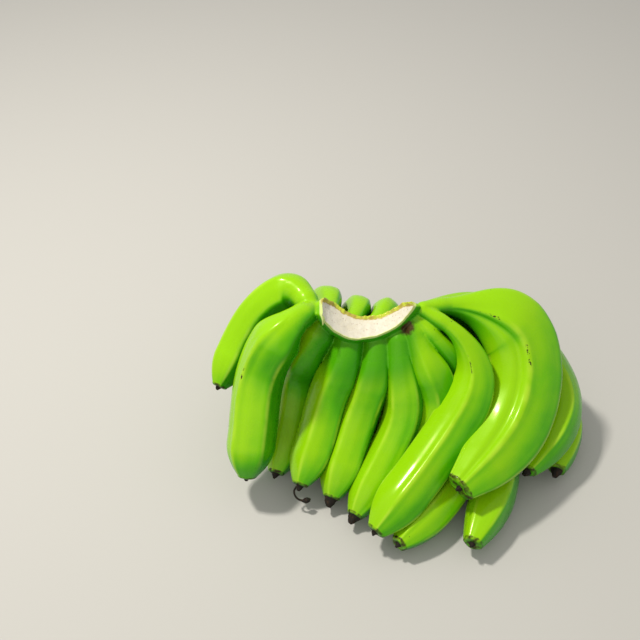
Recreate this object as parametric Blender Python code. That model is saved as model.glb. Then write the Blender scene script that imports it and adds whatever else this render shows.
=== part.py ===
"""A hand of green bananas, lying on the backs of its rear and its longest fingers, crown uppermost.

Metres, +Z up. The origin is on the ground, under the middle of the hand. The stalk that the hand was cut from
lay along Y, above the crown, so the crown is an arc in XZ whose hollow side, the cut, faces up. The fingers
leave its round underside in two rows, spread like a fan, and all bend forward, towards -Y.
"""

import math
from typing import NamedTuple

import bmesh
import bpy
import numpy as np
from mathutils import Vector

# Driving dimensions
CROWN_CENTRE = Vector((-0.0347, 0.0405, 0.1335))  # lowest point of the cut face, above the ground
STALK_RADIUS = 0.044  # radius of the arc of the cut
CROWN_HALF_ANGLE = math.radians(66)
# Edges of the cut: degrees round the arc, then the front and the rear edge, centimetres along the stalk. The
# left end is broad and the right end runs out thin.
CUT_EDGES = (
    (-66, -0.7, 1.3),
    (-40, -1.2, 2.2),
    (-14, -1.2, 1.65),
    (21, -0.6, 1.65),
    (50, 0.15, 1.8),
    (66, 0.4, 0.9),
)
CROWN_THICKNESS = 0.017
CROWN_END_THICKNESS = 0.80  # share of its thickness that is left at both ends
CROWN_STEPS = 18

ROOT_DEPTH = 0.013  # how far below the cut the finger centre lines start
INNER_ROOT_Y = 0.009  # near row
OUTER_ROOT_Y = 0.011  # far row

SIDES = 10  # corners round a finger: five ridges and the five hollows between them
STATIONS = 17  # rings along a finger
RIDGE_HEIGHT = 0.055  # of the half thickness
HOLLOW_DEPTH = 0.035
RELIEF_SHARES = (0.05, 0.30)  # of the length, where ridges and breadth begin and where they are full
CHORD_ALLOWANCE = 1.025  # a ten-sided ring is drawn a little larger, so that its area is the round one's

NECK_SHARE = 0.08  # of the finger's length, from the root, before the neck starts to swell
TAPER_POWER = 2.0  # how late in the narrowing towards the flower end most of it comes
END_THICKNESS = 0.42  # of the half thickness, at the flower end

BLUNT_END = 0.0030  # from the last ring of the peel to the dried flower remnant in its middle
REMNANT_LENGTH = 0.0055
REMNANT_HALF_THICKNESS = 0.0050

GROUND_BLOCK = (1.0, 1.0, 0.05)  # trims the fingers that the hand rests on flat, at the ground
SMOOTH_ABOVE = math.radians(40)  # edges that turn less than this are shaded smooth
FACING = Vector((0, -1, 1)).normalized()  # the side of a finger that its roll is counted from: up and forward
FACING_SHARE = 0.7  # of the length, where it faces exactly that way

# Name, base colour and roughness of the three surfaces, in the order of their material slots
SURFACES = (
    ("green_peel", (0.155, 0.420, 0.018), 0.32),
    ("pale_cut_flesh", (0.720, 0.640, 0.450), 0.62),
    ("dried_flower", (0.018, 0.013, 0.010), 0.85),
)
PEEL, CUT_FLESH, DRIED_FLOWER = range(3)


class Finger(NamedTuple):
    """One finger. Its points are centimetres from CROWN_CENTRE, to the right, to the rear and up."""

    crown_angle: float  # degrees round the crown's arc, 0 at its lowest point, + to the right
    half_thickness: float  # centimetres
    neck: float  # the neck's share of the half thickness
    full_from: float  # share of the length at which the finger has its full thickness
    full_to: float  # where it starts to narrow to its flower end
    breadth: float  # sideways, as a share of the thickness
    roll: float  # degrees from FACING to the ridge nearest it, + to the right
    neck_end: tuple
    shoulder: tuple
    belly: tuple
    tip: tuple


# From left to right, as seen from the front
INNER_ROW = (
    Finger(-60, 2.08, 0.52, 0.28, 0.84, 1.04, -39,
           (-6.5, -1.0, 1.9), (-9.2, -2.6, -1.9), (-10.1, -5.4, -5.8), (-10.7, -8.7, -9.7)),
    Finger(-42, 1.85, 0.78, 0.30, 0.80, 1.00, -30,
           (-4.9, 0.0, -1.8), (-6.1, 0.1, -5.8), (-6.8, -2.4, -9.5), (-8.2, -6.8, -11.8)),
    Finger(-16, 1.85, 0.72, 0.32, 0.80, 1.00, -24,
           (-2.0, -1.2, -2.5), (-3.2, -2.7, -5.4), (-4.3, -5.1, -8.4), (-5.9, -8.8, -10.8)),
    Finger(10, 1.90, 0.68, 0.32, 0.80, 1.00, -30,
           (0.8, -1.3, -3.1), (-0.3, -3.2, -6.6), (-1.5, -5.6, -9.4), (-3.1, -9.5, -11.8)),
    Finger(30, 1.80, 0.68, 0.36, 0.80, 1.00, 35,
           (3.1, -1.6, -2.8), (3.5, -3.8, -6.2), (2.2, -6.3, -9.2), (-1.0, -11.3, -11.9)),
    Finger(44, 1.80, 0.54, 0.32, 0.80, 1.00, 0,
           (5.0, -1.4, -1.9), (6.4, -3.0, -5.4), (5.7, -5.5, -8.8), (3.6, -9.6, -11.5)),
    Finger(50, 1.85, 0.38, 0.32, 0.84, 1.00, -20,
           (6.4, -0.6, -0.8), (9.3, -0.6, -6.2), (9.2, -5.4, -10.2), (2.7, -14.4, -11.6)),
    Finger(60, 1.98, 0.32, 0.46, 0.84, 1.08, -15,
           (7.8, -0.5, 0.2), (9.6, -2.2, -2.8), (7.7, -5.8, -6.4), (0.7, -13.7, -10.7)),
)
OUTER_ROW = (
    Finger(-60, 1.80, 0.56, 0.26, 0.80, 1.00, 10,
           (-6.5, 3.4, 1.5), (-9.4, 3.2, -0.4), (-11.9, 1.0, -3.8), (-13.4, -1.5, -5.7)),
    Finger(-40, 1.80, 0.50, 0.36, 0.80, 1.00, 15,
           (-3.3, 4.8, -0.8), (-5.6, 4.8, -7.0), (-6.2, 2.2, -11.3), (-6.4, -2.0, -11.7)),
    Finger(-16, 1.80, 0.44, 0.40, 0.80, 1.00, 0,
           (-0.5, 4.8, -1.9), (-2.0, 4.9, -7.4), (-2.4, 2.4, -11.3), (-2.6, -2.0, -11.6)),
    Finger(6, 1.80, 0.46, 0.40, 0.80, 1.00, 25,
           (2.0, 4.6, -2.1), (1.9, 4.9, -7.6), (1.7, 2.2, -11.3), (1.4, -2.4, -11.6)),
    Finger(20, 1.80, 0.44, 0.34, 0.80, 1.00, -10,
           (3.4, 3.7, -2.8), (5.6, 4.8, -8.4), (5.8, 1.0, -11.4), (5.4, -4.2, -11.6)),
    Finger(32, 2.00, 0.42, 0.30, 0.80, 1.00, -40,
           (4.6, 2.6, -2.8), (8.8, 2.8, -8.7), (12.3, -2.8, -11.0), (9.0, -14.5, -11.3)),
    Finger(42, 1.90, 0.40, 0.32, 0.80, 1.00, 0,
           (6.0, 3.6, -1.6), (12.6, 4.4, -8.6), (19.1, -0.4, -11.4), (17.8, -6.6, -11.7)),
    Finger(52, 1.90, 0.40, 0.34, 0.80, 1.00, 20,
           (6.5, 3.2, -0.2), (14.5, 3.9, -4.4), (18.5, -0.8, -8.1), (14.6, -8.0, -9.8)),
    Finger(60, 2.25, 0.34, 0.36, 0.62, 1.46, -6,
           (6.9, 2.0, 1.0), (13.7, 1.4, -2.0), (13.8, -3.8, -6.1), (7.9, -11.3, -7.7)),
)


def clear_scene():
    for obj in list(bpy.data.objects):
        bpy.data.objects.remove(obj, do_unlink=True)


def smooth_step(low, high, x):
    share = min(max((x - low) / (high - low), 0.0), 1.0)
    return share * share * (3 - 2 * share)


def smooth_line(points, count):
    """A natural cubic spline through the points, as evenly spaced points."""
    points = np.array(points)
    gaps = np.linalg.norm(np.diff(points, axis=0), axis=1)
    knots = np.concatenate([[0.0], np.cumsum(gaps)])
    last = len(points) - 1
    matrix = np.eye(last + 1)
    right = np.zeros_like(points)
    for i in range(1, last):
        matrix[i, i - 1 : i + 2] = gaps[i - 1], 2 * (gaps[i - 1] + gaps[i]), gaps[i]
        right[i] = 6 * ((points[i + 1] - points[i]) / gaps[i] - (points[i] - points[i - 1]) / gaps[i - 1])
    bends = np.linalg.solve(matrix, right)
    along = np.linspace(0, knots[-1], 20 * count)
    span = np.clip(np.searchsorted(knots, along, side="right") - 1, 0, last - 1)
    gap = gaps[span][:, None]
    to_next = knots[span + 1][:, None] - along[:, None]
    from_last = along[:, None] - knots[span][:, None]
    line = (bends[span] * to_next**3 + bends[span + 1] * from_last**3) / (6 * gap)
    line += (points[span] / gap - bends[span] * gap / 6) * to_next
    line += (points[span + 1] / gap - bends[span + 1] * gap / 6) * from_last
    walked = np.concatenate([[0.0], np.cumsum(np.linalg.norm(np.diff(line, axis=0), axis=1))])
    even = np.linspace(0, walked[-1], count)
    return [Vector([np.interp(even[i], walked, line[:, axis]) for axis in range(3)]) for i in range(count)]


def crown_point(angle, below_cut, y):
    """A point below the cut face, at this angle round the arc."""
    radius = STALK_RADIUS + below_cut
    return CROWN_CENTRE + Vector((radius * math.sin(angle), y, STALK_RADIUS - radius * math.cos(angle)))


def centre_line(finger, root_y):
    root = crown_point(math.radians(finger.crown_angle), ROOT_DEPTH, root_y)
    others = (finger.neck_end, finger.shoulder, finger.belly, finger.tip)
    return smooth_line([root] + [CROWN_CENTRE + Vector(p) / 100 for p in others], STATIONS)


def frames_along(line):
    """For each point its direction, the finger's facing side, and the side to the right of that."""
    last = len(line) - 1
    directions = [(line[min(i + 1, last)] - line[max(i - 1, 0)]).normalized() for i in range(len(line))]
    start = int(FACING_SHARE * last)
    facings = {start: (FACING - FACING.dot(directions[start]) * directions[start]).normalized()}
    for order in (range(start + 1, len(line)), range(start - 1, -1, -1)):
        before = start
        for i in order:
            turn = directions[before].rotation_difference(directions[i])
            facings[i] = (turn @ facings[before]).normalized()
            before = i
    return [(directions[i], facings[i], facings[i].cross(directions[i])) for i in range(len(line))]


def fullness(share, finger):
    """Half thickness along the finger, as a share of its full one."""
    root = 0.7 + 0.3 * smooth_step(0, NECK_SHARE, share)
    swell = finger.neck * root + (1 - finger.neck) * smooth_step(NECK_SHARE, finger.full_from, share)
    past = max(share - finger.full_to, 0) / (1 - finger.full_to)
    return swell * (1 - (1 - END_THICKNESS) * past**TAPER_POWER)


def ring(bm, centre, facing, side, half_thickness, breadth, roll, relief):
    corners = []
    for k in range(SIDES):
        angle = math.radians(roll) + 2 * math.pi * k / SIDES
        bump = RIDGE_HEIGHT if k % 2 == 0 else -HOLLOW_DEPTH
        reach = half_thickness * CHORD_ALLOWANCE * (1 + bump * relief)
        out = math.cos(angle) * facing + breadth * math.sin(angle) * side
        corners.append(bm.verts.new(centre + reach * out))
    return corners


def bridge(bm, first, second, surface=PEEL):
    faces = []
    for k in range(len(first)):
        after = (k + 1) % len(first)
        faces.append(bm.faces.new((first[k], first[after], second[after], second[k])))
        faces[-1].material_index = surface
    return faces


def finished_object(bm, name, materials, collection):
    bmesh.ops.triangulate(bm, faces=bm.faces)
    bmesh.ops.recalc_face_normals(bm, faces=bm.faces)
    mesh = bpy.data.meshes.new(name)
    bm.to_mesh(mesh)
    bm.free()
    for made in materials:
        mesh.materials.append(made)
    obj = bpy.data.objects.new(name, mesh)
    collection.objects.link(obj)
    return obj


def make_finger(name, finger, root_y, materials, collection):
    bm = bmesh.new()
    line = centre_line(finger, root_y)
    full = finger.half_thickness / 100
    rings = []
    for i, (point, (direction, facing, side)) in enumerate(zip(line, frames_along(line))):
        share = i / (STATIONS - 1)
        relief = smooth_step(*RELIEF_SHARES, share)
        breadth = 1 + (finger.breadth - 1) * relief
        half = full * fullness(share, finger)
        rings.append(ring(bm, point, facing, side, half, breadth, finger.roll, relief))
    bm.faces.new(rings[0])
    # the blunt flower end, and the dried remnant that stands out of it
    for beyond, half in (
        (0.7 * BLUNT_END, full * END_THICKNESS * 0.8),
        (BLUNT_END, REMNANT_HALF_THICKNESS * 1.1),
        (BLUNT_END + 0.1 * REMNANT_LENGTH, REMNANT_HALF_THICKNESS),
        (BLUNT_END + REMNANT_LENGTH, REMNANT_HALF_THICKNESS * 0.7),
    ):
        rings.append(ring(bm, line[-1] + beyond * direction, facing, side, half, 1, finger.roll, 0))
    for i, (first, second) in enumerate(zip(rings, rings[1:]), start=1):
        bridge(bm, first, second, PEEL if i < len(rings) - 2 else DRIED_FLOWER)
    bm.faces.new(rings[-1]).material_index = DRIED_FLOWER
    return finished_object(bm, name, materials, collection)


def make_crown(materials, collection):
    """The crescent: its hollow side is the cut, its round underside carries the roots."""
    bm = bmesh.new()
    # corners of its cross-section: shares of half its length along the stalk, and of its depth below the cut
    front = ((-0.40, 1.0), (-0.80, 0.55), (-1.0, 0.12), (-0.95, 0.0))
    rear = ((0.95, 0.0), (1.0, 0.12), (0.90, 0.55), (0.50, 1.0))
    angles, near_edges, far_edges = zip(*CUT_EDGES)
    rings = []
    for i in range(CROWN_STEPS + 1):
        turn = 2 * i / CROWN_STEPS - 1
        angle = turn * CROWN_HALF_ANGLE
        near, far = (np.interp(math.degrees(angle), angles, edge) / 100 for edge in (near_edges, far_edges))
        deep = CROWN_THICKNESS * (1 - (1 - CROWN_END_THICKNESS) * turn**4)
        middle, half = (near + far) / 2, (far - near) / 2
        outline = [crown_point(angle, down * deep, middle + out * half) for out, down in front + rear]
        rings.append([bm.verts.new(point) for point in outline])
    for first, second in zip(rings, rings[1:]):
        bridge(bm, first, second)[len(front) - 1].material_index = CUT_FLESH
    bm.faces.new(rings[0])
    bm.faces.new(rings[-1])
    return finished_object(bm, "banana_hand", materials, collection)


def apply_boolean(obj, operation, **operand):
    modifier = obj.modifiers.new("join", "BOOLEAN")
    modifier.operation = operation
    modifier.solver = "EXACT"
    for key, value in operand.items():
        setattr(modifier, key, value)
    bpy.context.view_layer.update()
    evaluated = obj.evaluated_get(bpy.context.evaluated_depsgraph_get())
    joined = bpy.data.meshes.new_from_object(evaluated)
    obj.modifiers.remove(modifier)
    obj.data = joined


def make_material(name, colour, roughness):
    made = bpy.data.materials.new(name)
    made.use_nodes = True
    surface = made.node_tree.nodes["Principled BSDF"]
    surface.inputs["Base Color"].default_value = (*colour, 1)
    surface.inputs["Roughness"].default_value = roughness
    surface.inputs["Metallic"].default_value = 0
    return made


def join_fingers(hand, materials, scene_collection):
    fingers = bpy.data.collections.new("fingers")
    scene_collection.children.link(fingers)
    for row, root_y, label in ((INNER_ROW, INNER_ROOT_Y, "inner"), (OUTER_ROW, OUTER_ROOT_Y, "outer")):
        for number, finger in enumerate(row, start=1):
            make_finger(f"{label}_{number}", finger, root_y, materials, fingers)
    apply_boolean(hand, "UNION", operand_type="COLLECTION", collection=fingers)
    for obj in list(fingers.objects):
        bpy.data.objects.remove(obj, do_unlink=True)
    bpy.data.collections.remove(fingers)


def trim_at_ground(hand, materials, scene_collection):
    """Small flats at z = 0, where the fingers rest."""
    bm = bmesh.new()
    bmesh.ops.create_cube(bm, size=1)
    bmesh.ops.translate(bm, verts=bm.verts, vec=(0, 0, -0.5))
    bmesh.ops.scale(bm, verts=bm.verts, vec=GROUND_BLOCK)
    block = finished_object(bm, "ground_block", materials, scene_collection)
    apply_boolean(hand, "DIFFERENCE", object=block)
    bpy.data.objects.remove(block, do_unlink=True)


def main():
    clear_scene()
    materials = [make_material(*surface) for surface in SURFACES]
    scene_collection = bpy.context.scene.collection
    hand = make_crown(materials, scene_collection)
    join_fingers(hand, materials, scene_collection)
    trim_at_ground(hand, materials, scene_collection)
    hand.data.shade_smooth()
    hand.data.set_sharp_from_angle(angle=SMOOTH_ABOVE)


main()
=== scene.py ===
# %% [markdown]
# # A hand of green bananas
# A hand is one row of a banana bunch, cut off the stalk in one piece. Two rows of fingers, eight in front and
# nine behind, grow from a crown of pale tissue. Here it lies as on a table, with the cut side up and the tips
# in front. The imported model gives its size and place. This lesson gives it peel, ridges, scars, cut flesh and
# dried flower ends.

import math

import bmesh
import bpy
import numpy as np
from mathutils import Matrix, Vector
from mathutils.kdtree import KDTree
from mathutils.noise import noise


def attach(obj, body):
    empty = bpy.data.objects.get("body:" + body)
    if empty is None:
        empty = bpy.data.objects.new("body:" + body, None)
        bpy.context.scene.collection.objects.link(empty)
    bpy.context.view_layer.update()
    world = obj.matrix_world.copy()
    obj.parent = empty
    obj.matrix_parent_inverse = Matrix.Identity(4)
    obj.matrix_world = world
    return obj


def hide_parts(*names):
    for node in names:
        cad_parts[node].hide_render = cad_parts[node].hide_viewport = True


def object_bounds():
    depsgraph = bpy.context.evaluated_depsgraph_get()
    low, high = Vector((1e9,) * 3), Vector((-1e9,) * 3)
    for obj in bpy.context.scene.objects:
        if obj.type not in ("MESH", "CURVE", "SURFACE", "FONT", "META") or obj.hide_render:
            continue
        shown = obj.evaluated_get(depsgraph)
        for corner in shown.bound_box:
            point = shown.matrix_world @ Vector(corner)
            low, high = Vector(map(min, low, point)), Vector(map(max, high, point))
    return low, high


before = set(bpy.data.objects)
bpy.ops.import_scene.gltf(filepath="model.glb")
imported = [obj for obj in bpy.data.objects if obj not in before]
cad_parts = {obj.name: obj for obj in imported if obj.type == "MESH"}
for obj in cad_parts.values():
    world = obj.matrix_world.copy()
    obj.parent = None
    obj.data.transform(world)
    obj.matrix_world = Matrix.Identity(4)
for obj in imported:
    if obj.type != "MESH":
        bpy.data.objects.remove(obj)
cad_low, cad_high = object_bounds()
print("CAD box in mm", [round(v * 1000, 1) for v in (*cad_low, *cad_high)])

# %% [markdown]
# The hand is one grown piece, so there is one CAD node, and every piece made here stands for a part of it.
# `finish_piece` says so to the frame: it hangs the piece on the root body and hides the CAD node.

# %% Say what a piece stands for
HAND = "banana_hand"


def finish_piece(obj):
    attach(obj, "root")
    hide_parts(HAND)
    print(f"{obj.name}: {len(obj.data.polygons)} faces")
    return obj


def new_object(name, mesh):
    obj = bpy.data.objects.new(name, mesh)
    bpy.context.scene.collection.objects.link(obj)
    return obj


# %% [markdown]
# ## Camera
# The photograph looks down on the hand from the front at about 45 degrees. The hand fills only the lower
# right of the picture, so the camera aims at a point up and to the left of the crown.
# The crown's place in the frame ties the camera to the model, so it is worked out from there.

# %% Crown, camera and aim
CROWN_CENTRE = Vector((-0.0347, 0.0405, 0.1335))
FRAME_PIXELS = 640
CROWN_PIXEL = (367, 330)
ELEVATION = math.radians(45)
LENS_MM = 49.5
SENSOR_MM = 36
DISTANCE = 0.78

towards_camera = Vector((0, -math.cos(ELEVATION), math.sin(ELEVATION)))
camera_up = Vector((0, math.sin(ELEVATION), math.cos(ELEVATION)))
metres_per_pixel = DISTANCE * SENSOR_MM / LENS_MM / FRAME_PIXELS
half_frame = FRAME_PIXELS / 2
aim = CROWN_CENTRE.copy()
aim.x -= (CROWN_PIXEL[0] - half_frame) * metres_per_pixel
aim += camera_up * (CROWN_PIXEL[1] - half_frame) * metres_per_pixel

camera_data = bpy.data.cameras.new("camera")
camera_data.lens = LENS_MM
camera_data.sensor_width = SENSOR_MM
camera = new_object("camera", camera_data)
camera.location = aim + DISTANCE * towards_camera
camera.rotation_euler = (math.pi / 2 - ELEVATION, 0, 0)
bpy.context.scene.camera = camera
print("camera at", [round(v, 3) for v in camera.location])

# %% [markdown]
# ## Light and floor
# The sun in the photograph stands high, to the left and a little behind. One lamp from there is soft enough
# for a studio and still draws the long glints on the ridges. A broad weak lamp in front and the pale
# surroundings fill the shadows. The floor is plain, because the hand is meant to be used elsewhere.

# %% Lamps, surroundings and floor
KEY_DIRECTION = Vector((-0.42, 0.16, 0.89)).normalized()
KEY_DISTANCE = 1.5
KEY_SIZE = 0.13
KEY_WATTS = 20
KEY_COLOUR = (1.0, 0.96, 0.86)
SKY_COLOUR = (1.0, 0.99, 0.94)
SKY_STRENGTH = 0.58
FILL_DIRECTION = Vector((-0.35, -0.80, 0.50)).normalized()
FILL_SIZE = 1.3
FILL_WATTS = 3
FLOOR_SIZE = 8.0
FLOOR_COLOUR = (0.50, 0.49, 0.475)

middle = (cad_low + cad_high) / 2
for name, direction, size, watts in (("key", KEY_DIRECTION, KEY_SIZE, KEY_WATTS),
                                     ("fill", FILL_DIRECTION, FILL_SIZE, FILL_WATTS)):
    lamp_data = bpy.data.lights.new(name, "AREA")
    lamp_data.size = size
    lamp_data.energy = watts
    lamp_data.color = KEY_COLOUR
    lamp = new_object(name, lamp_data)
    lamp.location = middle + KEY_DISTANCE * direction
    lamp.rotation_euler = (-direction).to_track_quat("-Z", "Y").to_euler()

world = bpy.data.worlds.new("surroundings")
world.use_nodes = True
background = world.node_tree.nodes["Background"]
background.inputs["Color"].default_value = (*SKY_COLOUR, 1)
background.inputs["Strength"].default_value = SKY_STRENGTH
bpy.context.scene.world = world
bpy.context.scene.view_settings.view_transform = "Standard"


def plain_material(name, colour, roughness):
    made = bpy.data.materials.new(name)
    made.use_nodes = True
    surface = made.node_tree.nodes["Principled BSDF"]
    surface.inputs["Base Color"].default_value = (*colour, 1)
    surface.inputs["Roughness"].default_value = roughness
    return made


floor_mesh = bpy.data.meshes.new("floor")
reach = FLOOR_SIZE / 2
corners = [(-reach, -reach, 0), (reach, -reach, 0), (reach, reach, 0), (-reach, reach, 0)]
floor_mesh.from_pydata(corners, [], [(0, 1, 2, 3)])
floor_mesh.materials.append(plain_material("floor", FLOOR_COLOUR, 0.9))
floor = new_object("floor", floor_mesh)
print("floor and lamps are in place")

# %% [markdown]
# ## Nodes in few words
# Materials and Geometry Nodes are both trees of nodes. A few helpers keep them readable: `plug` sets an
# input or links it, `add` makes any node, and the others make the arithmetic that keeps coming back.

# %% Helpers for node trees


def plug(tree, value, socket):
    if isinstance(value, bpy.types.NodeSocket):
        tree.links.new(value, socket)
    else:
        socket.default_value = value


def add(tree, kind, inputs=None, **settings):
    made = tree.nodes.new(kind)
    for key_name, value in settings.items():
        setattr(made, key_name, value)
    for name, value in (inputs or {}).items():
        plug(tree, value, made.inputs[name])
    return made


def calc(tree, operation, *terms):
    return add(tree, "ShaderNodeMath", dict(enumerate(terms)), operation=operation).outputs[0]


def vector(tree, operation, *terms):
    inputs = dict(enumerate(terms))
    if operation == "SCALE":
        inputs[3] = inputs.pop(1)
    made = add(tree, "ShaderNodeVectorMath", inputs, operation=operation)
    return made.outputs["Value" if operation in ("DOT_PRODUCT", "LENGTH") else "Vector"]


def remap(tree, value, low, high, new_low=0.0, new_high=1.0):
    """A smooth step from new_low to new_high while value goes from low to high."""
    settings = {"Value": value, "From Min": low, "From Max": high, "To Min": new_low, "To Max": new_high}
    return add(tree, "ShaderNodeMapRange", settings, interpolation_type="SMOOTHSTEP").outputs["Result"]


def apart(tree, point):
    """The three parts of a vector."""
    return add(tree, "ShaderNodeSeparateXYZ", {0: point}).outputs


def together(tree, *parts):
    return add(tree, "ShaderNodeCombineXYZ", dict(enumerate(parts))).outputs[0]


def product(tree, first, *others):
    for other in others:
        first = calc(tree, "MULTIPLY", first, other)
    return first


def swing(tree, value, width):
    """Noise between 0 and 1, made an offset that swings by half the width to either side."""
    return product(tree, calc(tree, "SUBTRACT", value, 0.5), width)


def bell(tree, value):
    """A bell curve: 1 where the value is 0, and falling away on both sides."""
    return calc(tree, "EXPONENT", product(tree, calc(tree, "POWER", value, 2.0), -1.0))


# %% [markdown]
# ## The fingers' middle lines
# A banana's shape is a curved line and a thickness along it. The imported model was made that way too, so the
# same rule is used here with the same numbers, and the finer fingers lie where the solids are.
# Each line is a smooth curve through five points: the root in the crown, the end of the neck, the shoulder,
# the belly and the tip. Points are centimetres from the crown, to the right, to the rear and up.

# %% The fingers' sizes and points
STALK_RADIUS = 0.044
ROOT_DEPTH = 0.013
INNER_ROOT_Y = 0.009
OUTER_ROOT_Y = 0.011
CROWN_AXIS = CROWN_CENTRE + Vector((0, 0, STALK_RADIUS))

# name, angle round the crown, half thickness, neck, full from, full to, breadth, roll, then the four points
FINGERS = (
    ("inner_1", -60, 2.08, 0.52, 0.28, 0.84, 1.04, -39,
     (-6.5, -1.0, 1.9), (-9.2, -2.6, -1.9), (-10.1, -5.4, -5.8), (-10.7, -8.7, -9.7)),
    ("inner_2", -42, 1.85, 0.78, 0.30, 0.80, 1.00, -30,
     (-4.9, 0.0, -1.8), (-6.1, 0.1, -5.8), (-6.8, -2.4, -9.5), (-8.2, -6.8, -11.8)),
    ("inner_3", -16, 1.85, 0.72, 0.32, 0.80, 1.00, -24,
     (-2.0, -1.2, -2.5), (-3.2, -2.7, -5.4), (-4.3, -5.1, -8.4), (-5.9, -8.8, -10.8)),
    ("inner_4", 10, 1.90, 0.68, 0.32, 0.80, 1.00, -30,
     (0.8, -1.3, -3.1), (-0.3, -3.2, -6.6), (-1.5, -5.6, -9.4), (-3.1, -9.5, -11.8)),
    ("inner_5", 30, 1.80, 0.68, 0.36, 0.80, 1.00, 35,
     (3.1, -1.6, -2.8), (3.5, -3.8, -6.2), (2.2, -6.3, -9.2), (-1.0, -11.3, -11.9)),
    ("inner_6", 44, 1.80, 0.54, 0.32, 0.80, 1.00, 0,
     (5.0, -1.4, -1.9), (6.4, -3.0, -5.4), (5.7, -5.5, -8.8), (3.6, -9.6, -11.5)),
    ("inner_7", 50, 1.85, 0.38, 0.32, 0.84, 1.00, -20,
     (6.4, -0.6, -0.8), (9.3, -0.6, -6.2), (9.2, -5.4, -10.2), (2.7, -14.4, -11.6)),
    ("inner_8", 60, 1.98, 0.32, 0.46, 0.84, 1.08, -15,
     (7.8, -0.5, 0.2), (9.6, -2.2, -2.8), (7.7, -5.8, -6.4), (0.7, -13.7, -10.7)),
    ("outer_1", -60, 1.80, 0.56, 0.26, 0.80, 1.00, 10,
     (-6.5, 3.4, 1.5), (-9.4, 3.2, -0.4), (-11.9, 1.0, -3.8), (-13.4, -1.5, -5.7)),
    ("outer_2", -40, 1.80, 0.50, 0.36, 0.80, 1.00, 15,
     (-3.3, 4.8, -0.8), (-5.6, 4.8, -7.0), (-6.2, 2.2, -11.3), (-6.4, -2.0, -11.7)),
    ("outer_3", -16, 1.80, 0.44, 0.40, 0.80, 1.00, 0,
     (-0.5, 4.8, -1.9), (-2.0, 4.9, -7.4), (-2.4, 2.4, -11.3), (-2.6, -2.0, -11.6)),
    ("outer_4", 6, 1.80, 0.46, 0.40, 0.80, 1.00, 25,
     (2.0, 4.6, -2.1), (1.9, 4.9, -7.6), (1.7, 2.2, -11.3), (1.4, -2.4, -11.6)),
    ("outer_5", 20, 1.80, 0.44, 0.34, 0.80, 1.00, -10,
     (3.4, 3.7, -2.8), (5.6, 4.8, -8.4), (5.8, 1.0, -11.4), (5.4, -4.2, -11.6)),
    ("outer_6", 32, 2.00, 0.42, 0.30, 0.80, 1.00, -40,
     (4.6, 2.6, -2.8), (8.8, 2.8, -8.7), (12.3, -2.8, -11.0), (9.0, -14.5, -11.3)),
    ("outer_7", 42, 1.90, 0.40, 0.32, 0.80, 1.00, 0,
     (6.0, 3.6, -1.6), (12.6, 4.4, -8.6), (19.1, -0.4, -11.4), (17.8, -6.6, -11.7)),
    ("outer_8", 52, 1.90, 0.40, 0.34, 0.80, 1.00, 20,
     (6.5, 3.2, -0.2), (14.5, 3.9, -4.4), (18.5, -0.8, -8.1), (14.6, -8.0, -9.8)),
    ("outer_9", 60, 2.25, 0.34, 0.36, 0.62, 1.46, -6,
     (6.9, 2.0, 1.0), (13.7, 1.4, -2.0), (13.8, -3.8, -6.1), (7.9, -11.3, -7.7)),
)
print(len(FINGERS), "fingers")

# %% [markdown]
# The curve is a natural cubic spline: it bends as little as it can on its way through the points. Walking
# along it and reading it off again at chosen shares of its length gives points that lie as close together as
# the shape needs.

# %% Smooth lines
LINE_SAMPLES = 2000


def smooth_line(points, shares):
    """A natural cubic spline through the points, read at these shares of its length."""
    points = np.array(points)
    gaps = np.linalg.norm(np.diff(points, axis=0), axis=1)
    knots = np.concatenate([[0.0], np.cumsum(gaps)])
    last = len(points) - 1
    matrix = np.eye(last + 1)
    right = np.zeros_like(points)
    for i in range(1, last):
        matrix[i, i - 1 : i + 2] = gaps[i - 1], 2 * (gaps[i - 1] + gaps[i]), gaps[i]
        right[i] = 6 * ((points[i + 1] - points[i]) / gaps[i] - (points[i] - points[i - 1]) / gaps[i - 1])
    bends = np.linalg.solve(matrix, right)
    along = np.linspace(0, knots[-1], LINE_SAMPLES)
    span = np.clip(np.searchsorted(knots, along, side="right") - 1, 0, last - 1)
    gap = gaps[span][:, None]
    to_next = knots[span + 1][:, None] - along[:, None]
    from_last = along[:, None] - knots[span][:, None]
    line = (bends[span] * to_next**3 + bends[span + 1] * from_last**3) / (6 * gap)
    line += (points[span] / gap - bends[span] * gap / 6) * to_next
    line += (points[span + 1] / gap - bends[span + 1] * gap / 6) * from_last
    walked = np.concatenate([[0.0], np.cumsum(np.linalg.norm(np.diff(line, axis=0), axis=1))])
    read = np.array(shares) * walked[-1]
    return np.stack([np.interp(read, walked, line[:, axis]) for axis in range(3)], axis=1), walked[-1]


def crown_point(angle, below_cut, y):
    """A point below the cut face, at this angle round the arc of the crown."""
    radius = STALK_RADIUS + below_cut
    return CROWN_CENTRE + Vector((radius * math.sin(angle), y, STALK_RADIUS - radius * math.cos(angle)))


def knots_of(name, crown_angle, points):
    root_y = INNER_ROOT_Y if name.startswith("inner") else OUTER_ROOT_Y
    root = crown_point(math.radians(crown_angle), ROOT_DEPTH, root_y)
    return [root] + [CROWN_CENTRE + Vector(point) / 100 for point in points]


lengths = [smooth_line(knots_of(row[0], row[1], row[8:]), [0, 1])[1] * 1000 for row in FINGERS]
print(f"fingers are {min(lengths):.0f} to {max(lengths):.0f} mm long")

# %% [markdown]
# A tube needs to know which way is up all along its line, or it twists. So one point of each finger faces up
# and forward, and that direction is carried along the line by the smallest turn from step to step.

# %% Directions along a line
FACING = Vector((0, -1, 1)).normalized()
FACING_SHARE = 0.7


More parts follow.
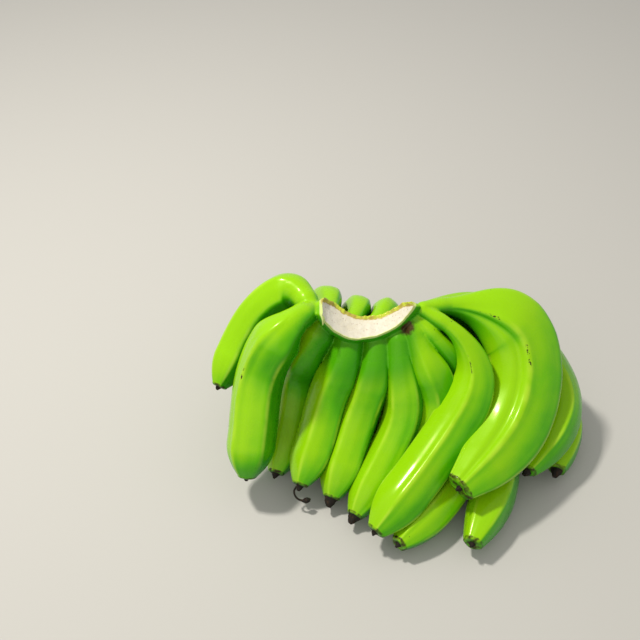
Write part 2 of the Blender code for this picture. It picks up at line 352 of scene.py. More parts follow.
def frames_along(line, shares):
    """Arrays of the direction, the facing side and the side to the right of that, for each point."""
    last = len(line) - 1
    points = [Vector(point) for point in line]
    directions = [(points[min(i + 1, last)] - points[max(i - 1, 0)]).normalized() for i in range(last + 1)]
    start = int(np.argmin(np.abs(np.array(shares) - FACING_SHARE)))
    facings = {start: (FACING - FACING.dot(directions[start]) * directions[start]).normalized()}
    for order in (range(start + 1, last + 1), range(start - 1, -1, -1)):
        before = start
        for i in order:
            facings[i] = (directions[before].rotation_difference(directions[i]) @ facings[before]).normalized()
            before = i
    facing = np.array([facings[i] for i in range(last + 1)])
    direction = np.array(directions)
    return direction, facing, np.cross(facing, direction)


# %% [markdown]
# ## Thickness along a finger
# A slim neck swells to the full thickness, which stays until the finger narrows to its blunt flower end. The
# end turns in like a shallow dish round the dried remains of the flower.

# %% Thickness, ridges and breadth along a finger
NECK_SHARE = 0.08
ROOT_WIDTH, ROOT_GAIN = 0.7, 0.3
TAPER_POWER = 2.0
END_THICKNESS = 0.42
BLUNT_END = 0.0020
RELIEF_SHARES = (0.05, 0.30)
RINGS = 150
ROOT_HIDDEN = 0.028
ROOT_THINNER = 0.70
END_RINGS = 9
END_DIP = ((0.92, 0.80), (0.75, 0.40))  # how far out, as a share of BLUNT_END, and how wide
REMNANT_RADIUS = 0.0050


def smooth_step(low, high, x):
    share = np.clip((x - low) / (high - low), 0.0, 1.0)
    return share * share * (3 - 2 * share)


def fullness(share, neck, full_from, full_to):
    """Half thickness along the finger, as a share of its full one."""
    root = ROOT_WIDTH + ROOT_GAIN * smooth_step(0, NECK_SHARE, share)
    swell = neck * root + (1 - neck) * smooth_step(NECK_SHARE, full_from, share)
    past = np.maximum(share - full_to, 0) / (1 - full_to)
    return swell * (1 - (1 - END_THICKNESS) * past**TAPER_POWER)


across = [row[2] * 20 for row in FINGERS]
print(f"fingers are {min(across):.0f} to {max(across):.0f} mm across")

# %% [markdown]
# Each finger's line becomes a spine: a chain of points that carries the thickness, the two directions and
# the length walked so far as attributes. The node tree in the next step reads them.

# %% Build a spine


def set_attribute(mesh, name, kind, values):
    attribute = mesh.attributes.new(name, kind, "POINT")
    attribute.data.foreach_set("vector" if kind == "FLOAT_VECTOR" else "value", np.ravel(values))


def make_spine(row):
    name, crown_angle, half, neck, full_from, full_to, breadth, roll, *points = row
    shares = np.linspace(0, 1, RINGS)
    line, length = smooth_line(knots_of(name, crown_angle, points), shares)
    direction, facing, side = frames_along(line, shares)
    thick = half / 100 * fullness(shares, neck, full_from, full_to)
    # the crown made later covers the root, so the tube starts thinner and stays well inside it
    tube = thick * (ROOT_THINNER + (1 - ROOT_THINNER) * smooth_step(0, ROOT_HIDDEN / length, shares))
    # the end turns in over a quarter of an ellipse, and then dips a little under the dried flower
    turn = np.linspace(0, math.pi / 2, END_RINGS)[1:]
    beyond = BLUNT_END * np.sin(turn)
    inner = min(REMNANT_RADIUS, 0.8 * thick[-1])
    end_thick = inner + (thick[-1] - inner) * np.cos(turn)
    beyond = np.concatenate([beyond, [out * BLUNT_END for out, _ in END_DIP]])
    end_thick = np.concatenate([end_thick, [wide * inner for _, wide in END_DIP]])
    count = len(beyond)
    centres = np.concatenate([line, line[-1] + beyond[:, None] * direction[-1]])
    relief = smooth_step(*RELIEF_SHARES, shares)
    end_relief = np.linspace(1, 0.2, count)
    mesh = bpy.data.meshes.new(f"spine_{name}")
    mesh.from_pydata(centres.tolist(), [(i, i + 1) for i in range(len(centres) - 1)], [])
    broad = 1 + (breadth - 1) * relief
    for label, body, end in (("thick", tube, end_thick), ("relief", relief, end_relief),
                             ("broad", broad, np.full(count, breadth)), ("share", shares, np.ones(count)),
                             ("walked", shares * length, length + beyond)):
        set_attribute(mesh, label, "FLOAT", np.concatenate([body, end]))
    for label, sides in (("facing", facing), ("side", side)):
        set_attribute(mesh, label, "FLOAT_VECTOR", np.concatenate([sides, np.tile(sides[-1], (count, 1))]))
    grown = {"line": line, "length": length, "thick": thick, "direction": direction, "facing": facing,
             "side": side, "relief": relief, "breadth": broad, "roll": math.radians(roll)}
    return new_object(f"spine_{name}", mesh), grown


# %% [markdown]
# ## The finger's skin, by Geometry Nodes
# A green banana is not round. It has five ridges with flat faces between them, and each ridge is a thin
# raised line with a shallow trough on either side, which is what catches the light.
# A curve with a fixed profile could not do that, because the ridges fade out on the neck and the thickness
# changes all the way. So the tree takes a plain cylinder with one ring for each point of the spine, and
# moves every vertex to its place: the ring's centre, plus the thickness at its angle.

# %% Inputs of a node tree


def new_tree(name, inputs):
    """A geometry node tree with these named inputs, what it is given at its start, and its end node."""
    tree = bpy.data.node_groups.new(name, "GeometryNodeTree")
    tree.interface.new_socket("Geometry", in_out="INPUT", socket_type="NodeSocketGeometry")
    tree.interface.new_socket("Geometry", in_out="OUTPUT", socket_type="NodeSocketGeometry")
    for label, (kind, default) in inputs.items():
        socket = tree.interface.new_socket(label, in_out="INPUT", socket_type=f"NodeSocket{kind}")
        if default is not None:
            socket.default_value = default
    return tree, tree.nodes.new("NodeGroupInput").outputs, tree.nodes.new("NodeGroupOutput")


def run_tree(obj, tree, values, name):
    """Runs the tree on the object with these inputs, and returns the result as a plain new object."""
    modifier = obj.modifiers.new("nodes", "NODES")
    modifier.node_group = tree
    identifiers = {item.name: item.identifier for item in tree.interface.items_tree if item.in_out == "INPUT"}
    for label, value in values.items():
        modifier[identifiers[label]] = value
    bpy.context.view_layer.update()
    evaluated = obj.evaluated_get(bpy.context.evaluated_depsgraph_get())
    mesh = bpy.data.meshes.new_from_object(evaluated)
    obj.modifiers.remove(modifier)
    mesh.name = name
    return new_object(name, mesh)


def finish_tree(tree, geometry, given, end):
    """Every tree ends the same way: no instances left, smooth shading, and the material."""
    real = add(tree, "GeometryNodeRealizeInstances", {"Geometry": geometry})
    smooth = add(tree, "GeometryNodeSetShadeSmooth", {"Geometry": real.outputs[0]})
    inputs = {"Geometry": smooth.outputs[0], "Material": given["Material"]}
    painted = add(tree, "GeometryNodeSetMaterial", inputs)
    tree.links.new(painted.outputs[0], end.inputs["Geometry"])


# %% The ridge profile
RIDGES = 5
LOBE_HEIGHT = 0.092
LOBE_SHARPNESS = 1.6
LOBE_MIDDLE = 0.39
TROUGH_WIDTH = 6.5
WEAKEST_RIDGE, RIDGE_SPREAD = 0.15, 0.45


def ridge_profile(tree, angle, given):
    """How far the peel stands out at this angle from a ridge, as a share of the thickness."""
    turns = product(tree, angle, RIDGES / (2 * math.pi))
    nearest = calc(tree, "ROUND", turns)
    to_right = calc(tree, "SUBTRACT", turns, nearest)
    degrees = product(tree, calc(tree, "ABSOLUTE", to_right), 360 / RIDGES)
    # five lobes with nearly flat faces between them
    wave = calc(tree, "COSINE", product(tree, angle, RIDGES))
    wave = calc(tree, "POWER", calc(tree, "MULTIPLY_ADD", wave, 0.5, 0.5), LOBE_SHARPNESS)
    lobes = product(tree, calc(tree, "SUBTRACT", wave, LOBE_MIDDLE), given["Lobe Height"])
    # ridge number five is ridge number nought
    number = calc(tree, "MODULO", calc(tree, "ADD", nearest, RIDGES), RIDGES)
    seed = calc(tree, "ADD", product(tree, given["Seed"], 7.3), number)
    chance = add(tree, "ShaderNodeTexWhiteNoise", {"W": seed}, noise_dimensions="1D").outputs["Value"]
    is_front = calc(tree, "COMPARE", number, 0.0, 0.5)
    others = calc(tree, "ADD", product(tree, chance, RIDGE_SPREAD), WEAKEST_RIDGE)
    strength = calc(tree, "MAXIMUM", others, product(tree, is_front, given["Sharpness"]))
    # the raised line, and the troughs on either side
    line = bell(tree, calc(tree, "DIVIDE", degrees, given["Line Width"]))
    off_trough = calc(tree, "SUBTRACT", degrees, given["Trough Angle"])
    trough = bell(tree, calc(tree, "ABSOLUTE", calc(tree, "DIVIDE", off_trough, TROUGH_WIDTH)))
    line = product(tree, line, given["Line Height"])
    # a leaning ridge has the deeper trough on its left
    lean = product(tree, calc(tree, "SIGN", to_right), given["Lean"])
    trough = product(tree, trough, calc(tree, "SUBTRACT", 1.0, lean))
    trough = product(tree, trough, given["Trough Depth"])
    relief = product(tree, calc(tree, "SUBTRACT", line, trough), strength)
    return calc(tree, "ADD", lobes, relief)


# %% The tree that skins a spine
SKIN_INPUTS = {
    "Sides": ("Int", 72),
    "Roll": ("Float", 0.0),
    "Lobe Height": ("Float", LOBE_HEIGHT),
    "Line Height": ("Float", 0.022),
    "Line Width": ("Float", 5.5),
    "Trough Depth": ("Float", 0.020),
    "Trough Angle": ("Float", 15.0),
    "Sharpness": ("Float", 1.0),
    "Lean": ("Float", 0.0),
    "Unevenness": ("Float", 0.0007),
    "Seed": ("Int", 0),
    "Scar From": ("Float", 0.0),
    "Scar To": ("Float", 0.0),
    "Upper Scar From": ("Float", 0.0),
    "Upper Scar To": ("Float", 0.0),
    "Material": ("Material", None),
}
PEEL_RADIUS = 0.018


def read_spine(tree, spine, name, kind, ring):
    named = add(tree, "GeometryNodeInputNamedAttribute", {"Name": name}, data_type=kind).outputs["Attribute"]
    sample = add(tree, "GeometryNodeSampleIndex", {"Geometry": spine, "Index": ring}, data_type=kind)
    tree.links.new(named, sample.inputs["Value"])
    return sample.outputs["Value"]


def store(tree, geometry, name, kind, value):
    node = add(tree, "GeometryNodeStoreNamedAttribute", {"Geometry": geometry, "Name": name},
               data_type=kind, domain="POINT")
    tree.links.new(value, node.inputs["Value"])
    return node.outputs["Geometry"]


def make_skin_tree():
    tree, given, end = new_tree("finger skin", SKIN_INPUTS)
    spine = given["Geometry"]
    count = add(tree, "GeometryNodeAttributeDomainSize", {"Geometry": spine}).outputs["Point Count"]
    last_ring = calc(tree, "SUBTRACT", count, 1.0)
    inputs = {"Vertices": given["Sides"], "Side Segments": last_ring, "Radius": 1.0,
              "Depth": last_ring}
    tube = add(tree, "GeometryNodeMeshCylinder", inputs, fill_type="TRIANGLE_FAN").outputs["Mesh"]
    x, y, z = apart(tree, add(tree, "GeometryNodeInputPosition").outputs[0])
    ring = calc(tree, "ROUND", calc(tree, "ADD", z, product(tree, last_ring, 0.5)))
    ring = calc(tree, "ADD", ring, 0.1)
    angle = calc(tree, "ARCTAN2", y, x)
    on_rim = calc(tree, "MINIMUM", vector(tree, "LENGTH", together(tree, x, y, 0.0)), 1.0)

    centre_sample = add(tree, "GeometryNodeSampleIndex", {"Geometry": spine, "Index": ring},
                        data_type="FLOAT_VECTOR")
    tree.links.new(add(tree, "GeometryNodeInputPosition").outputs[0], centre_sample.inputs["Value"])
    centre = centre_sample.outputs["Value"]
    thick, relief, broad, share, walked = [read_spine(tree, spine, name, "FLOAT", ring)
                                           for name in ("thick", "relief", "broad", "share", "walked")]
    facing, side = [read_spine(tree, spine, name, "FLOAT_VECTOR", ring) for name in ("facing", "side")]

    out = product(tree, ridge_profile(tree, angle, given), relief)
    radius = product(tree, thick, calc(tree, "ADD", out, 1.0))
    turned = calc(tree, "ADD", angle, given["Roll"])
    to_facing = vector(tree, "SCALE", facing, calc(tree, "COSINE", turned))
    to_side = vector(tree, "SCALE", side, product(tree, broad, calc(tree, "SINE", turned)))
    outward = vector(tree, "ADD", to_facing, to_side)

    # slow unevenness, as on anything grown
    skin_point = vector(tree, "ADD", centre, vector(tree, "SCALE", outward, radius))
    swell = add(tree, "ShaderNodeTexNoise", {"Vector": skin_point, "W": given["Seed"], "Scale": 26.0,
                                             "Detail": 2.0, "Roughness": 0.45}, noise_dimensions="4D")
    uneven = swing(tree, swell.outputs[0], given["Unevenness"])
    radius = product(tree, calc(tree, "ADD", radius, product(tree, uneven, 2.0)), on_rim)
    skin_point = vector(tree, "ADD", centre, vector(tree, "SCALE", outward, radius))
    # what would be under the ground is pressed flat on it
    x, y, z = apart(tree, skin_point)
    rested = together(tree, x, y, calc(tree, "MAXIMUM", z, 0.0))

    # the peel laid out straight: two numbers for the place round the finger, and one for the length
    far = calc(tree, "ADD", walked, product(tree, given["Seed"], 0.37))
    round_x = product(tree, calc(tree, "COSINE", angle), PEEL_RADIUS)
    round_y = product(tree, calc(tree, "SINE", angle), PEEL_RADIUS)
    skin = store(tree, tube, "peel", "FLOAT_VECTOR", together(tree, round_x, round_y, far))
    skin = store(tree, skin, "share", "FLOAT", share)
    skin = store(tree, skin, "relief", "FLOAT", relief)
    scars = [product(tree, calc(tree, "GREATER_THAN", share, given[f"{which} From"]),
                     calc(tree, "LESS_THAN", share, given[f"{which} To"]))
             for which in ("Scar", "Upper Scar")]
    skin = store(tree, skin, "scarred", "FLOAT", calc(tree, "MAXIMUM", *scars))
    skin = add(tree, "GeometryNodeSetPosition", {"Geometry": skin, "Position": rested}).outputs[0]
    skin = add(tree, "GeometryNodeFlipFaces", {"Mesh": skin}).outputs[0]
    finish_tree(tree, skin, given, end)
    return tree


skin_tree = make_skin_tree()
print("skin tree has", len(skin_tree.nodes), "nodes")

# %% [markdown]
# ## Peel
# Unripe peel is a clear green. Painted light and shade go over it: yellow-green on the side facing the key
# lamp, darker green on the side away from it. It is waxy, so it shines, and fine fibres run along it. The
# ridges are paler, partly in their own colour and partly as a painted highlight, and get scuffed: their scars
# dry to black dashes.
# Small dark specks are scattered all over. Everything is worked out from the straightened peel, which the
# skin tree stored, so that the pattern follows the finger round its bend.

# %% Colours of the peel
# painted shade and painted light: the green away from the key lamp and the yellow-green facing it
PAINTED_SHADE_GREEN = (0.016, 0.240, 0.001)
# painted shadow: the darker green where the crown's shadow falls on the necks under the cut
CROWN_SHADOW_GREEN = (0.026, 0.270, 0.002)
GREEN = (0.085, 0.460, 0.002)
PAINTED_LIT_GREEN = (0.262, 0.560, 0.002)
RIDGE_GREEN = (0.430, 0.660, 0.040)
SCAR_BROWN = (0.030, 0.018, 0.006)
SPECK_BROWN = (0.050, 0.045, 0.010)


def mix_colour(tree, share, first, second):
    node = add(tree, "ShaderNodeMix", data_type="RGBA")
    plug(tree, share, node.inputs[0])
    for value, socket in ((first, node.inputs[6]), (second, node.inputs[7])):
        plug(tree, value if isinstance(value, bpy.types.NodeSocket) else (*value, 1), socket)
    return node.outputs[2]


def noise_value(tree, coordinate, scale, detail=2.0, roughness=0.5):
    inputs = {"Vector": coordinate, "Scale": scale, "Detail": detail, "Roughness": roughness}
    return add(tree, "ShaderNodeTexNoise", inputs).outputs[0]


def named(tree, name, output):
    return add(tree, "ShaderNodeAttribute", attribute_name=name).outputs[output]


def peel_with_painted_light(tree, place):
    """The colour of peel before its ridges and marks, with painted light and shade: yellow-green on the side
    facing the key lamp, darker green on the side away from it, and cloudy patches.
    """
    normal = add(tree, "ShaderNodeNewGeometry").outputs["Normal"]
    towards_key_lamp = vector(tree, "DOT_PRODUCT", normal, tuple(KEY_DIRECTION))
    painted_light = calc(tree, "ADD", towards_key_lamp, swing(tree, noise_value(tree, place, 21.0, 3.0, 0.55), 0.6))
    green = mix_colour(tree, remap(tree, painted_light, -0.50, 0.40), PAINTED_SHADE_GREEN, GREEN)
    return mix_colour(tree, remap(tree, painted_light, 0.05, 0.65), green, PAINTED_LIT_GREEN)


def painted_crown_shadow(tree, place, colour):
    """Painted shadow of the crown on the necks under the cut, as a darker green; also the distance below
    the cut and the place from its centre.
    """
    flat = vector(tree, "MULTIPLY", vector(tree, "SUBTRACT", place, tuple(CROWN_AXIS)), (1.0, 0.0, 1.0))
    below = calc(tree, "SUBTRACT", vector(tree, "LENGTH", flat), STALK_RADIUS)
    split = apart(tree, vector(tree, "SUBTRACT", place, tuple(CROWN_CENTRE)))
    under_cut = product(tree, remap(tree, below, 0.0012, 0.0030), remap(tree, below, 0.046, 0.024))
    in_front = remap(tree, split["Y"], 0.010, 0.002)
    in_middle = remap(tree, calc(tree, "ABSOLUTE", split["X"]), 0.052, 0.036)
    painted_shadow = product(tree, under_cut, in_front, in_middle, 0.85)
    return mix_colour(tree, painted_shadow, colour, CROWN_SHADOW_GREEN), below, split


def specks(tree, place, scale, size, share_of_cells):
    """Round spots, one at most in each cell of a lattice of points."""
    cells = add(tree, "ShaderNodeTexVoronoi", {"Vector": place, "Scale": scale})
    chance = add(tree, "ShaderNodeSeparateColor", {0: cells.outputs["Color"]})
    spot = product(tree, chance.outputs[1], size)
    near = calc(tree, "LESS_THAN", cells.outputs["Distance"], spot)
    return product(tree, near, calc(tree, "LESS_THAN", chance.outputs[0], share_of_cells))


# %% [markdown]
# Every material starts from the place in space and ends in a colour, a roughness and a relief. Peel also has
# its wax, which is a thin coat with a green tint in its shine. It is the same on the fingers and the crown.

# %% How a material starts and ends


def start_material(name, colour, roughness):
    made = plain_material(name, colour, roughness)
    return made, made.node_tree, add(made.node_tree, "ShaderNodeTexCoord").outputs["Object"]


def set_surface(made, values):
    for name, value in values.items():
        plug(made.node_tree, value, made.node_tree.nodes["Principled BSDF"].inputs[name])


def finish_material(made, colour, rough, height, strength, depth):
    """Links the colour, the roughness and the relief, which is this many metres deep."""
    tree = made.node_tree
    bump = add(tree, "ShaderNodeBump", {"Strength": strength, "Distance": depth, "Height": height})
    set_surface(made, {"Base Color": colour, "Roughness": rough, "Normal": bump.outputs[0]})
    print(f"{made.name}: {len(tree.nodes)} nodes")
    return made


WAX = {"Specular IOR Level": 0.28, "Specular Tint": (0.75, 1.0, 0.30, 1), "Coat Weight": 0.20,
       "Coat Roughness": 0.13}


# %% The peel material
FIBRE_SCALE = 900.0
PORE_SCALE = 1500.0
RIDGE_DEGREES = 8.0


def make_peel():
    made, tree, place = start_material("green_peel_skin", GREEN, 0.3)
    peel = named(tree, "peel", "Vector")
    share = named(tree, "share", "Fac")
    relief = named(tree, "relief", "Fac")
    x, y, _ = apart(tree, peel)
    angle = calc(tree, "ARCTAN2", y, x)
    turns = product(tree, angle, RIDGES / (2 * math.pi))
    away = calc(tree, "ABSOLUTE", calc(tree, "SUBTRACT", turns, calc(tree, "ROUND", turns)))
    degrees = product(tree, away, 360 / RIDGES)

    # fibres: noise drawn out along the finger
    stretched = vector(tree, "MULTIPLY", peel, (1.0, 1.0, 0.05))
    fibres = noise_value(tree, stretched, FIBRE_SCALE, 3.0, 0.6)
    # painted light and shade by the key lamp's direction, then the painted shadow of the crown on the necks
    colour, _, _ = painted_crown_shadow(tree, place, peel_with_painted_light(tree, place))
    # the crown's necks have neither fibres nor ridges, so both begin past their ends
    past_neck = remap(tree, share, 0.22, 0.36)
    pale = product(tree, remap(tree, fibres, 0.45, 0.75), 0.07, past_neck)
    colour = mix_colour(tree, pale, colour, RIDGE_GREEN)
    # pale ridges, stronger here and weaker there: partly the ridges' own paler skin, partly a painted highlight
    # along each ridge
    patchy = remap(tree, noise_value(tree, vector(tree, "MULTIPLY", peel, (1, 1, 0.6)), 70.0), 0.30, 0.62)
    pale_ridge_and_highlight = product(tree, remap(tree, degrees, RIDGE_DEGREES, 0.5), relief, patchy, past_neck, 0.55)
    colour = mix_colour(tree, pale_ridge_and_highlight, colour, RIDGE_GREEN)

    # dashes of dried scar on the front ridge
    front = calc(tree, "LESS_THAN", calc(tree, "ABSOLUTE", angle), 0.5)
    dash = remap(tree, noise_value(tree, vector(tree, "MULTIPLY", peel, (1, 1, 0.45)), 700.0, 2.0), 0.52, 0.57)
    narrow = remap(tree, degrees, 2.6, 1.4)
    scar = product(tree, front, narrow, named(tree, "scarred", "Fac"), dash)
    # specks and small scratches anywhere
    dots = calc(tree, "MAXIMUM", specks(tree, place, 46.0, 0.045, 0.30), specks(tree, place, 130.0, 0.07, 0.10))
    long_place = vector(tree, "MULTIPLY", peel, (1.0, 1.0, 0.22))
    scratches = product(tree, specks(tree, long_place, 60.0, 0.055, 0.10), 0.8)
    marks = calc(tree, "MAXIMUM", calc(tree, "MAXIMUM", dots, scratches), scar)
    colour = mix_colour(tree, dots, colour, SPECK_BROWN)
    colour = mix_colour(tree, calc(tree, "MAXIMUM", scratches, scar), colour, SCAR_BROWN)
    # the flower end dries brown from its rim
    rim_noise = swing(tree, noise_value(tree, place, 240.0, 3.0), 0.012)
    dry_end = remap(tree, calc(tree, "ADD", share, rim_noise), 0.9965, 1.0025)
    colour = mix_colour(tree, dry_end, colour, SCAR_BROWN)

    # worn places are dull; pores and fibres stand in relief
    wear = calc(tree, "MAXIMUM", marks, dry_end)
    gloss = remap(tree, noise_value(tree, place, 60.0, 3.0), 0.3, 0.7, 0.20, 0.34)
    rough = calc(tree, "ADD", gloss, product(tree, wear, 0.4))
    pores = noise_value(tree, place, PORE_SCALE, 2.0, 0.6)
    bumpy = calc(tree, "ADD", product(tree, pores, 0.35), product(tree, fibres, 0.5))
    bumpy = calc(tree, "SUBTRACT", bumpy, product(tree, wear, 0.6))
    set_surface(made, WAX)
    return finish_material(made, colour, rough, bumpy, 0.5, 0.00022)


peel_material = make_peel()

# %% [markdown]
# ## The seventeen fingers
# One tree skins every finger. What differs is the roll, the seed, how sharp the front ridge is and whether it
# leans, and where it is scarred.

# %% Skin the fingers
SHARP_RIDGES = {"outer_9": 3.2, "inner_1": 1.3, "inner_8": 1.5, "inner_5": 1.1, "inner_3": 0.3, "inner_4": 0.3,
                "inner_7": 1.2, "outer_1": 0.4}
OTHER_RIDGES = 0.8
LEANING = {"outer_9": 0.8, "inner_8": 0.5}
# from and to, as shares of the length, and the same for a second scar nearer the neck
SCARS = {"outer_1": (0.10, 0.20), "inner_1": (0.42, 0.50), "inner_8": (0.22, 0.30), "inner_5": (0.88, 0.93),
         "outer_9": (0.41, 0.49, 0.20, 0.27)}
SCAR_LABELS = ("Scar From", "Scar To", "Upper Scar From", "Upper Scar To")
spines = {}
for number, row in enumerate(FINGERS, start=1):
    name = row[0]
    spine_object, grown = make_spine(row)
    values = {"Roll": grown["roll"], "Seed": number, "Material": peel_material,
              "Sharpness": SHARP_RIDGES.get(name, OTHER_RIDGES), "Lean": LEANING.get(name, 0.0)}
    values.update(zip(SCAR_LABELS, SCARS.get(name, ())))
    finger = run_tree(spine_object, skin_tree, values, f"peel_{name}")
    bpy.data.objects.remove(spine_object, do_unlink=True)
    spines[name] = grown
    finish_piece(finger)

# %% [markdown]
# ## Dried flower ends
# Each finger ends in what is left of its flower: a black, crumbly stump. They repeat, so a node tree sets one
# rough stump on each tip, turned along the finger, and roughs each one up by its own place in space.

# %% Sizes of the dried ends
REMNANT_LENGTH = 0.0055
STUMPS = {"inner_3": 0.70, "inner_4": 1.05, "inner_5": 1.00, "outer_7": 0.95, "inner_2": 0.60, "outer_8": 0.75}
OTHER_STUMPS = 0.48
STUMP_BLACK = (0.012, 0.009, 0.007)
STUMP_BROWN = (0.060, 0.032, 0.014)


def make_dried():
    made, tree, place = start_material("dried_flower", STUMP_BLACK, 0.85)
    patches = noise_value(tree, place, 420.0, 4.0, 0.6)
    colour = mix_colour(tree, remap(tree, patches, 0.50, 0.72), STUMP_BLACK, STUMP_BROWN)
    rough = remap(tree, patches, 0.3, 0.7, 0.6, 0.95)
    set_surface(made, {"Specular IOR Level": 0.25})
    return finish_material(made, colour, rough, noise_value(tree, place, 900.0), 0.8, 0.0005)


dried_material = make_dried()

# %% Set a shape on points


def set_on_points(tree, given, shape):
    """Copies of the shape on the object's points, each turned and sized as its point says."""
    pointing = add(tree, "GeometryNodeInputNamedAttribute", {"Name": "towards"}, data_type="FLOAT_VECTOR")
    size = add(tree, "GeometryNodeInputNamedAttribute", {"Name": "size"}, data_type="FLOAT")
    turn = add(tree, "FunctionNodeAlignRotationToVector", {"Vector": pointing.outputs["Attribute"]}, axis="Z")
    inputs = {"Points": given["Geometry"], "Instance": shape, "Rotation": turn.outputs[0],
              "Scale": size.outputs["Attribute"]}
    return add(tree, "GeometryNodeInstanceOnPoints", inputs).outputs[0]


def run_on_points(tree, places, towards, sizes, material, name):
    mesh = bpy.data.meshes.new(f"{name}_points")
    mesh.from_pydata([tuple(place) for place in places], [], [])
    set_attribute(mesh, "towards", "FLOAT_VECTOR", np.array(towards))
    set_attribute(mesh, "size", "FLOAT", np.array(sizes))
    points = new_object(mesh.name, mesh)
    finish_piece(run_tree(points, tree, {"Material": material}, name))
    bpy.data.objects.remove(points, do_unlink=True)


# %% The tree that makes the stumps
STUMP_TOP, STUMP_BOTTOM, STUMP_DEPTH = 0.40, 1.30, 1.6  # shares of the radius and the length
STUMP_INPUTS = {
    "Radius": ("Float", REMNANT_RADIUS),
    "Length": ("Float", REMNANT_LENGTH),
    "Roughness": ("Float", 0.0018),
    "Seed": ("Int", 3),
    "Material": ("Material", None),
}


def make_stump_tree():
    tree, given, end = new_tree("dried stumps", STUMP_INPUTS)
    inputs = {"Vertices": 20, "Side Segments": 10, "Fill Segments": 3,
              "Depth": product(tree, given["Length"], STUMP_DEPTH),
              "Radius Top": product(tree, given["Radius"], STUMP_TOP),
              "Radius Bottom": product(tree, given["Radius"], STUMP_BOTTOM)}
    lump = add(tree, "GeometryNodeMeshCone", inputs, fill_type="TRIANGLE_FAN").outputs["Mesh"]
    stumps = set_on_points(tree, given, lump)
    real = add(tree, "GeometryNodeRealizeInstances", {"Geometry": stumps}).outputs[0]
    where = add(tree, "GeometryNodeInputPosition").outputs[0]
    push = add(tree, "ShaderNodeTexNoise", {"Vector": where, "W": given["Seed"], "Scale": 260.0,
                                            "Detail": 3.0}, noise_dimensions="4D").outputs[1]
    push = vector(tree, "SUBTRACT", push, (0.5, 0.5, 0.5))
    push = vector(tree, "SCALE", push, product(tree, given["Roughness"], 2.0))
    rough = add(tree, "GeometryNodeSetPosition", {"Geometry": real, "Offset": push}).outputs[0]
    finish_tree(tree, rough, given, end)
    return tree


tips = [grown["line"][-1] + grown["direction"][-1] * BLUNT_END * 0.5 for grown in spines.values()]
towards = [grown["direction"][-1] for grown in spines.values()]
sizes = [STUMPS.get(name, OTHER_STUMPS) for name in spines]
run_on_points(make_stump_tree(), tips, towards, sizes, dried_material, "dried_flower_ends")

# %% [markdown]
# ## Crown
# The crown is where all necks grow together, so it has no seams: one smooth cushion runs out into every neck.
# Separate tubes would show a crease wherever they cross. Instead the cushion and a stub of each neck are
# joined by a voxel remesh, which fuses whatever overlaps, and then smoothed, which fills the creases as
# growing does. The knife comes last, as it did on the real one, so the cut stays crisp.

# %% The cushion's and the necks' shapes
CUT_HALF_DEGREES = 66
# angle round the crown in degrees, then the front and the rear edge of the cut, in cm to the rear of the centre
CUT_EDGES = ((-66, -0.7, 1.3), (-58, -0.9, 1.8), (-40, -1.2, 2.2), (-26, -1.25, 1.85), (-14, -1.2, 1.65),
             (4, -0.8, 1.6), (21, -0.6, 1.65), (34, -0.3, 1.85), (50, 0.15, 1.8), (60, 0.3, 1.2),
             (66, 0.4, 0.9))
CUSHION_RINGS = 41
CUSHION_SIDES = 24
SQUARENESS = 0.85
THINNER_ENDS = 0.45
CROWN_THICKNESS = 0.012
ABOVE_CUT = -0.012
STUB_SIDES = 30
STUB_LENGTH = 0.036
STUB_RINGS = 17
STUB_FLARE = 0.16
STUB_SWELL = 0.0006
STUB_SINK = 0.0005
ROOT_DOME = (1.35, 1.05, 0.70, 0.35)
VOXEL = 0.00082


def loft(bm, rings):
    """Faces between rings of points, and a cap on each end."""
    made = [[bm.verts.new(point) for point in ring] for ring in rings]
    for first, second in zip(made, made[1:]):
        for k in range(len(first)):
            after = (k + 1) % len(first)
            bm.faces.new((first[k], first[after], second[after], second[k]))
    bm.faces.new(made[0])
    bm.faces.new(made[-1])


def object_from(bm, name):
    """The finished bmesh as an object, with its faces turned outwards."""
    bmesh.ops.recalc_face_normals(bm, faces=bm.faces)
    mesh = bpy.data.meshes.new(name)
    bm.to_mesh(mesh)
    bm.free()
    return new_object(name, mesh)


def cut_edges(degrees):
    """The front and the rear edge of the cut at this angle round the crown, in metres."""
    angles, *edges = zip(*CUT_EDGES)
    return [np.interp(degrees, angles, edge) / 100 for edge in edges]


def add_cushion(bm):
    rings = []
    for turn in np.linspace(-1, 1, CUSHION_RINGS):
        angle = turn * math.radians(CUT_HALF_DEGREES)
        front, rear = cut_edges(math.degrees(angle))
        deep = CROWN_THICKNESS * (1 - THINNER_ENDS * turn**4)
        ring = []
        for k in range(CUSHION_SIDES):
            around = 2 * math.pi * k / CUSHION_SIDES
            out, down = (math.copysign(abs(x) ** SQUARENESS, x) for x in (math.cos(around), math.sin(around)))
            depth = (deep + ABOVE_CUT) / 2 + down * (deep - ABOVE_CUT) / 2
            ripple = 1 + 0.10 * noise(Vector((turn * 6, out * 1.5, 3.1)))
            ring.append(crown_point(angle, depth, (front + rear) / 2 + out * (rear - front) / 2 * ripple))
        rings.append(ring)
    loft(bm, rings)


